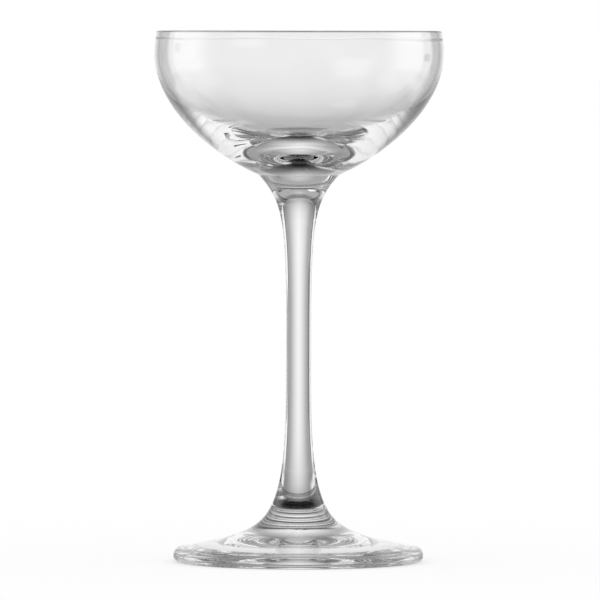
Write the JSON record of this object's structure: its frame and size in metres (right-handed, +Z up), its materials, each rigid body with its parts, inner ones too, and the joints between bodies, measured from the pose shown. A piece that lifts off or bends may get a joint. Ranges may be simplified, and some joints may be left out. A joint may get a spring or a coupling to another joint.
{
  "type": "liqueur glass",
  "caption": "Small clear coupe-shaped liqueur glass: a half-round bowl on a slim flared stem and a broad round foot.",
  "frame": {"origin": "centre of the flat ring that the foot stands on", "axes": "+Z up along the axis of revolution, from the foot to the rim; X and Y are alike"},
  "size_m": [0.0664, 0.0664, 0.122],
  "materials": {
    "bowl_crystal": "clear, blown and fire-polished",
    "stem_crystal": "clear, drawn",
    "foot_crystal": "clear, spun and fire-polished"
  },
  "bodies": {
    "root": {"bowl": "bowl_crystal", "stem": "stem_crystal", "foot": "foot_crystal"}
  },
  "joints": []
}
